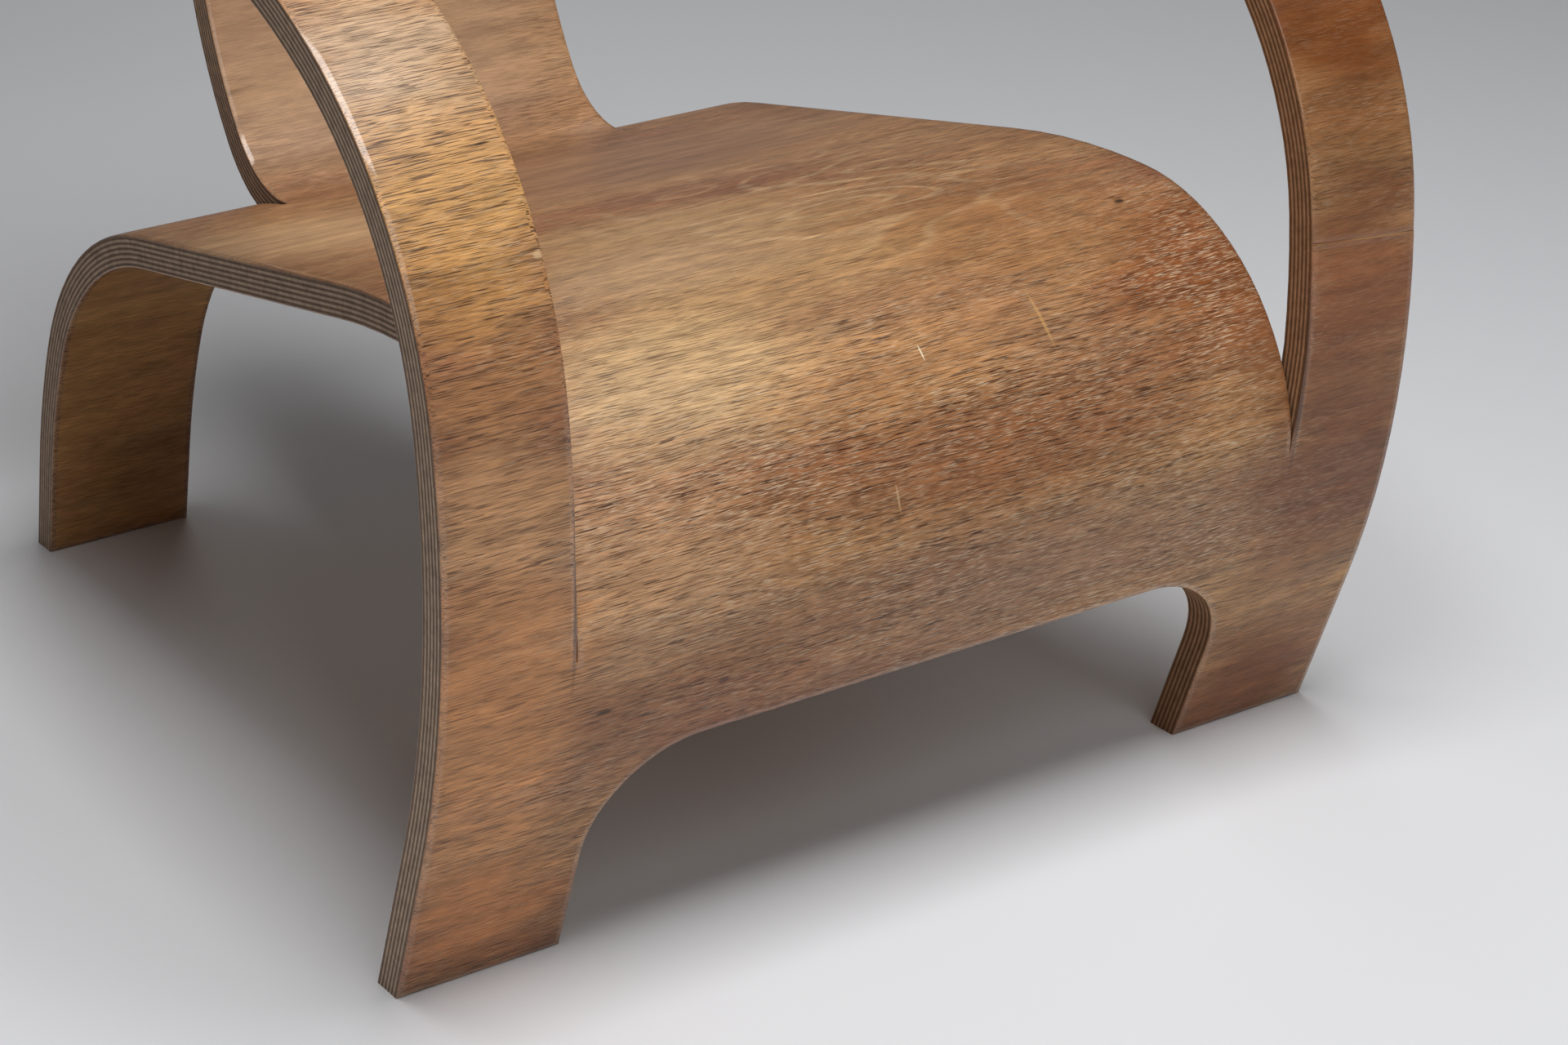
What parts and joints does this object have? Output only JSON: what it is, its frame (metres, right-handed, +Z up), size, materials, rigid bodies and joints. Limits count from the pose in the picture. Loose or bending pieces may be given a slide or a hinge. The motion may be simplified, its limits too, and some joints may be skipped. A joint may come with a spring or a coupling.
{
  "type": "bent plywood armchair",
  "caption": "Low armchair bent from one slit sheet of laminated veneers: sloping seat, free curved arms, narrow back and splayed rear legs, with no fittings or upholstery.",
  "frame": {"origin": "on the floor, in the middle of the chair's width and length", "axes": "+X to the right seen from the front, +Y to the rear, +Z up; the chair faces -Y"},
  "size_m": [0.61, 0.7334, 0.73],
  "materials": {
    "face_veneer": "worn satin varnish over birch veneer, grain across the chair",
    "cross_grain_veneer": "bare sanded edge, grain across the chair",
    "long_grain_veneer": "bare sanded edge, grain along the bend"
  },
  "bodies": {
    "root": {"ply_01_cross_grain": "face_veneer", "ply_01_right_arm_piece": "face_veneer", "ply_02_long_grain": "long_grain_veneer", "ply_03_cross_grain": "cross_grain_veneer", "ply_04_long_grain": "long_grain_veneer", "ply_05_cross_grain": "cross_grain_veneer", "ply_06_long_grain": "long_grain_veneer", "ply_07_cross_grain": "cross_grain_veneer", "ply_08_long_grain": "long_grain_veneer", "ply_09_cross_grain": "cross_grain_veneer", "ply_10_long_grain": "long_grain_veneer", "ply_11_cross_grain": "cross_grain_veneer", "ply_12_long_grain": "long_grain_veneer", "ply_13_cross_grain": "face_veneer"}
  },
  "joints": []
}
